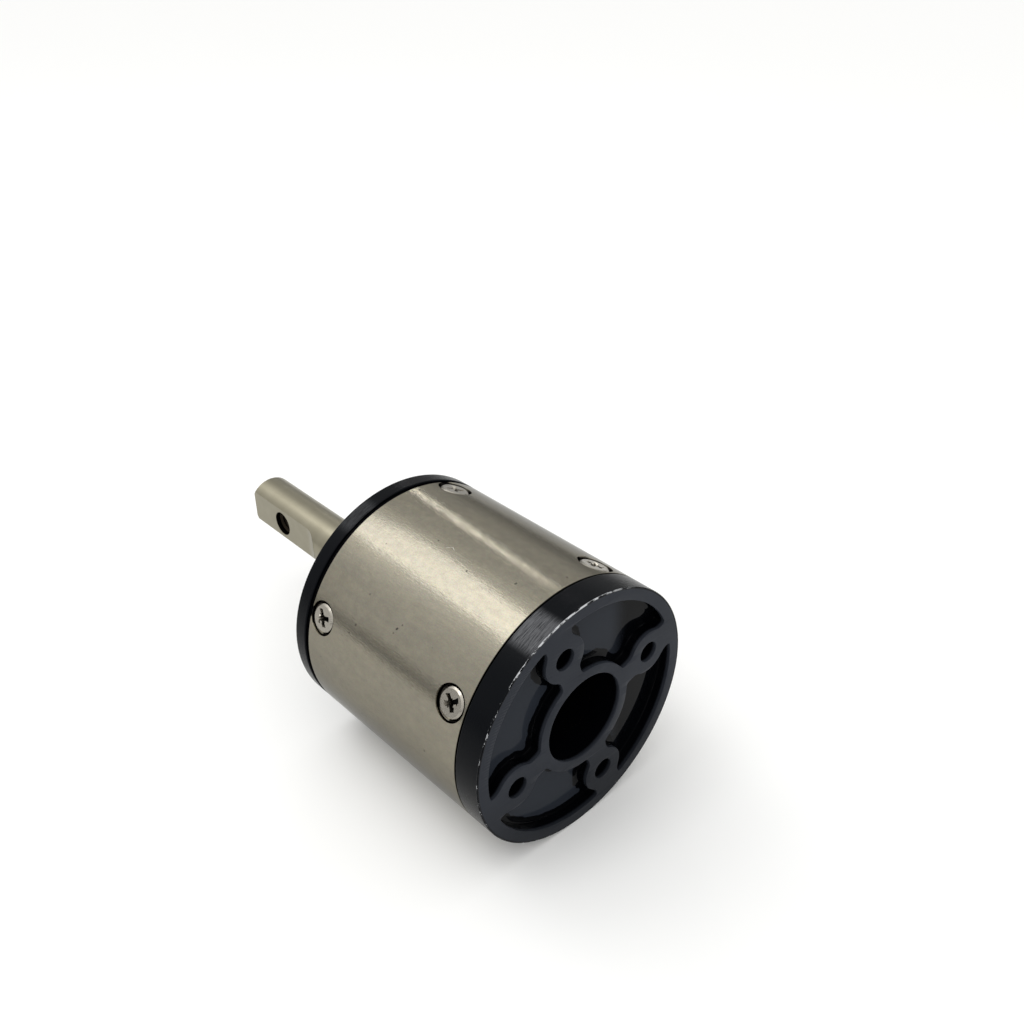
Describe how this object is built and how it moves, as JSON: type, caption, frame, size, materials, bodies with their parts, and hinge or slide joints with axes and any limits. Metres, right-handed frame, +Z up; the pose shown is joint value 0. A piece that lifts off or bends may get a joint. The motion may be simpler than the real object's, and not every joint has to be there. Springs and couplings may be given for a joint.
{
  "type": "planetary gearbox",
  "caption": "Round planetary gearbox with a steel tube housing, black end caps, a ribbed motor face and a long output shaft with a flat and a cross hole.",
  "frame": {"origin": "centre of the gearbox's overall box, on the shaft axis, half-way between the motor face and the end of the shaft", "axes": "+Y along the shaft axis from the motor face to the output shaft; +Z up with the gearbox lying on its side; the shaft's flat looks towards -X at rest"},
  "size_m": [0.056, 0.1116, 0.056],
  "materials": {
    "housing_steel": "satin, lightly brushed along the axis",
    "cap_plastic": "satin black with turning marks on the band",
    "screw_nickel": "bright nickel plate",
    "gear_steel": "hobbed and oiled",
    "washer_bronze": "sintered bronze",
    "pin_steel": "ground and hardened",
    "carrier_steel": "turned",
    "shaft_steel": "satin, turned and milled",
    "bearing_steel": "polished",
    "seal_rubber": "matt black"
  },
  "bodies": {
    "housing": {"housing_tube": "housing_steel", "input_end_cap": "cap_plastic", "output_end_cap": "cap_plastic", "input_cap_screw_1": "screw_nickel", "input_cap_screw_2": "screw_nickel", "input_cap_screw_3": "screw_nickel", "input_cap_screw_4": "screw_nickel", "output_cap_screw_1": "screw_nickel", "output_cap_screw_2": "screw_nickel", "output_cap_screw_3": "screw_nickel", "output_cap_screw_4": "screw_nickel", "ring_gear": "gear_steel", "input_thrust_washer": "washer_bronze", "bearing_outer_race": "bearing_steel", "shaft_seal": "seal_rubber"},
    "output_assembly": {"output_shaft": "shaft_steel", "output_carrier_plate": "carrier_steel", "second_planet_pin_1": "pin_steel", "second_planet_pin_2": "pin_steel", "second_planet_pin_3": "pin_steel", "second_planet_pin_4": "pin_steel", "bearing_inner_race": "bearing_steel", "shaft_retaining_ring": "carrier_steel"},
    "second_planet_1": {"second_planet_gear_1": "gear_steel"},
    "second_planet_2": {"second_planet_gear_2": "gear_steel"},
    "second_planet_3": {"second_planet_gear_3": "gear_steel"},
    "second_planet_4": {"second_planet_gear_4": "gear_steel"},
    "first_carrier": {"first_carrier_plate": "carrier_steel", "second_sun_gear": "gear_steel", "first_planet_pin_1": "pin_steel", "first_planet_pin_2": "pin_steel", "first_planet_pin_3": "pin_steel"},
    "first_planet_1": {"first_planet_gear_1": "gear_steel"},
    "first_planet_2": {"first_planet_gear_2": "gear_steel"},
    "first_planet_3": {"first_planet_gear_3": "gear_steel"},
    "input_sun": {"input_sun_gear": "gear_steel"},
    "ball_set": {"bearing_cage": "washer_bronze", "bearing_ball_1": "bearing_steel", "bearing_ball_2": "bearing_steel", "bearing_ball_3": "bearing_steel", "bearing_ball_4": "bearing_steel", "bearing_ball_5": "bearing_steel", "bearing_ball_6": "bearing_steel", "bearing_ball_7": "bearing_steel", "bearing_ball_8": "bearing_steel", "bearing_ball_9": "bearing_steel", "bearing_ball_10": "bearing_steel"}
  },
  "joints": [
    {"name": "output_spin", "type": "hinge", "parent": "housing", "child": "output_assembly", "pos_m": [0, 0, 0], "axis": [0, 1, 0], "continuous": true},
    {"name": "second_planet_1_spin", "type": "hinge", "parent": "output_assembly", "child": "second_planet_1", "pos_m": [0.00955, 0, 0.00955], "axis": [0, 1, 0], "continuous": true},
    {"name": "second_planet_2_spin", "type": "hinge", "parent": "output_assembly", "child": "second_planet_2", "pos_m": [-0.00955, 0, 0.00955], "axis": [0, 1, 0], "continuous": true},
    {"name": "second_planet_3_spin", "type": "hinge", "parent": "output_assembly", "child": "second_planet_3", "pos_m": [-0.00955, 0, -0.00955], "axis": [0, 1, 0], "continuous": true},
    {"name": "second_planet_4_spin", "type": "hinge", "parent": "output_assembly", "child": "second_planet_4", "pos_m": [0.00955, 0, -0.00955], "axis": [0, 1, 0], "continuous": true},
    {"name": "first_carrier_spin", "type": "hinge", "parent": "housing", "child": "first_carrier", "pos_m": [0, 0, 0], "axis": [0, 1, 0], "continuous": true},
    {"name": "first_planet_1_spin", "type": "hinge", "parent": "first_carrier", "child": "first_planet_1", "pos_m": [0, 0, 0.0135], "axis": [0, 1, 0], "continuous": true},
    {"name": "first_planet_2_spin", "type": "hinge", "parent": "first_carrier", "child": "first_planet_2", "pos_m": [-0.01169, 0, -0.00675], "axis": [0, 1, 0], "continuous": true},
    {"name": "first_planet_3_spin", "type": "hinge", "parent": "first_carrier", "child": "first_planet_3", "pos_m": [0.01169, 0, -0.00675], "axis": [0, 1, 0], "continuous": true},
    {"name": "input_spin", "type": "hinge", "parent": "housing", "child": "input_sun", "pos_m": [0, 0, 0], "axis": [0, 1, 0], "continuous": true},
    {"name": "cage_spin", "type": "hinge", "parent": "housing", "child": "ball_set", "pos_m": [0, 0, 0], "axis": [0, 1, 0], "continuous": true}
  ],
  "couplings": [
    {"joint": "second_planet_1_spin", "follows": "output_spin", "ratio": -2.6667},
    {"joint": "second_planet_2_spin", "follows": "output_spin", "ratio": -2.6667},
    {"joint": "second_planet_3_spin", "follows": "output_spin", "ratio": -2.6667},
    {"joint": "second_planet_4_spin", "follows": "output_spin", "ratio": -2.6667},
    {"joint": "first_carrier_spin", "follows": "output_spin", "ratio": 5},
    {"joint": "first_planet_1_spin", "follows": "output_spin", "ratio": -13.333},
    {"joint": "first_planet_2_spin", "follows": "output_spin", "ratio": -13.333},
    {"joint": "first_planet_3_spin", "follows": "output_spin", "ratio": -13.333},
    {"joint": "input_spin", "follows": "output_spin", "ratio": 25},
    {"joint": "cage_spin", "follows": "output_spin", "ratio": 0.41209}
  ]
}
